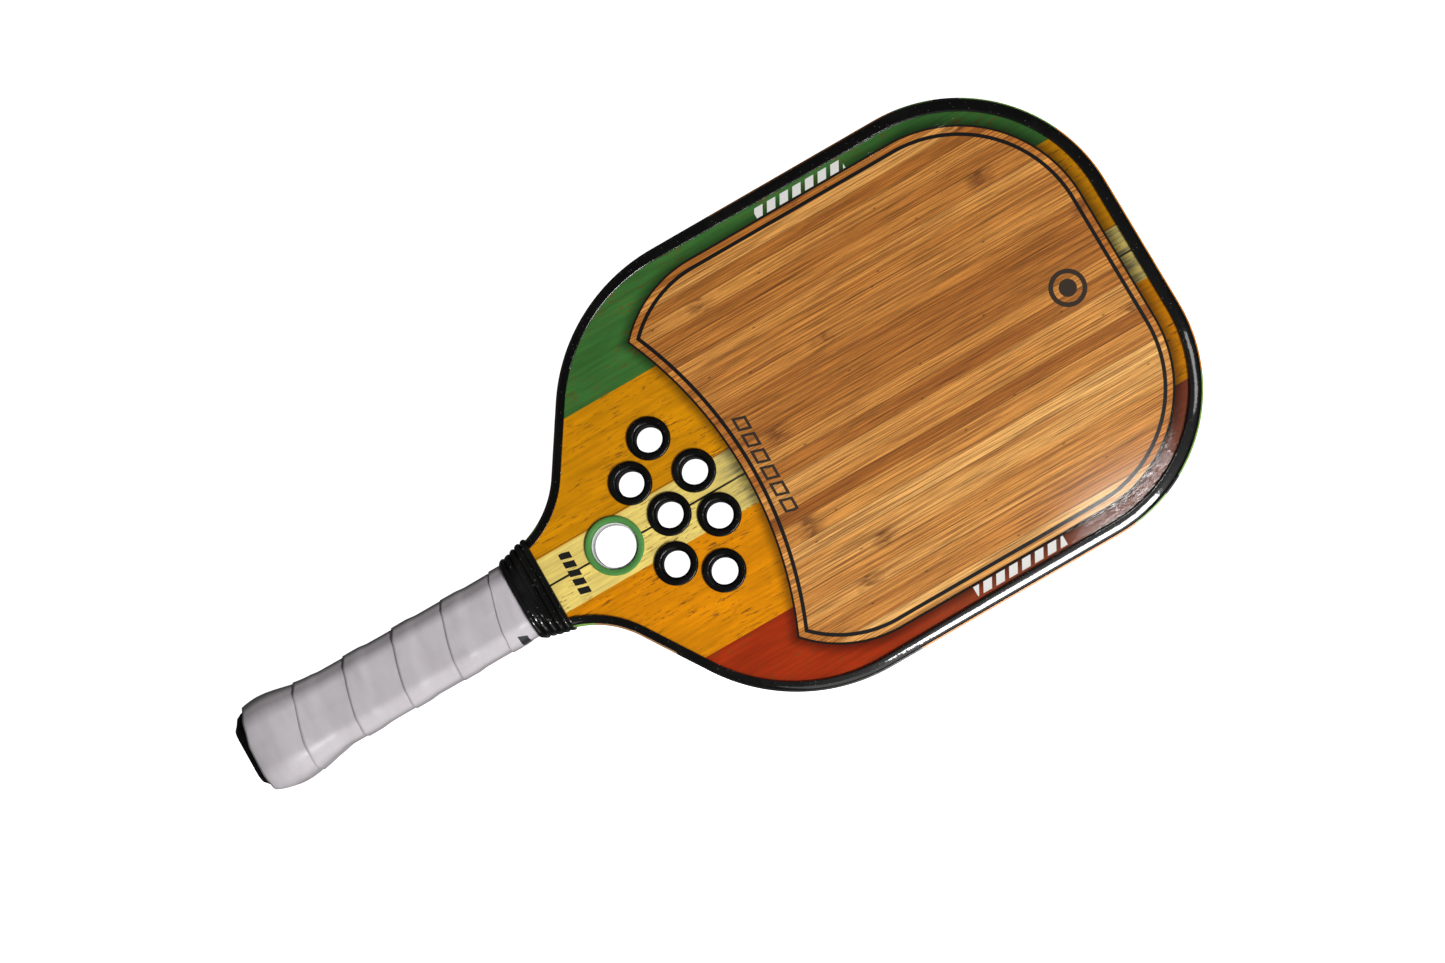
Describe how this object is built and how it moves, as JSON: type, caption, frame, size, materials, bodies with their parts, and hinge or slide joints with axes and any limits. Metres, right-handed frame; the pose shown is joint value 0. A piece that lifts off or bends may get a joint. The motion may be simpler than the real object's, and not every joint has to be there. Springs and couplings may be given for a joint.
{
  "type": "pickleball paddle",
  "caption": "Flat solid-faced paddle with a rounded rectangular head, edge guard, pierced and grommeted throat, ribbed rubber collar and a wrapped handle.",
  "frame": {"origin": "centre of the overall bounding box in plan, on the plane the paddle lies on", "axes": "+Y along the handle from the butt to the top of the head, +X to the right of the front face, +Z out of the front face"},
  "size_m": [0.1906, 0.4064, 0.0351],
  "materials": {
    "core": "plain honeycomb core",
    "bamboo": "fine-grained bamboo strips under a clear coat",
    "film": "glossy printed film with lengthwise stripes",
    "guard": "satin moulded edging",
    "tape": "printed tape",
    "grommet": "satin",
    "eyelet": "satin",
    "liner": "satin",
    "shell": "rigid foam",
    "cap": "satin",
    "grip": "cushioned grip tape",
    "overgrip": "matt tacky overgrip tape",
    "collar": "glossy ribbed rubber"
  },
  "bodies": {
    "root": {"core_panel": "core", "face_sheet_front": "bamboo", "face_sheet_back": "bamboo", "printed_film_front": "film", "printed_film_back": "film", "edge_guard_left": "guard", "edge_guard_right": "guard", "edge_tape_left": "tape", "edge_tape_right": "tape", "grommet_1": "grommet", "grommet_2": "grommet", "grommet_3": "grommet", "grommet_4": "grommet", "grommet_5": "grommet", "grommet_6": "grommet", "grommet_7": "grommet", "throat_eyelet": "eyelet", "eyelet_liner": "liner", "handle_shell_front": "shell", "handle_shell_back": "shell", "butt_cap": "cap", "base_grip": "grip", "overgrip": "overgrip", "rubber_collar": "collar"}
  },
  "joints": []
}
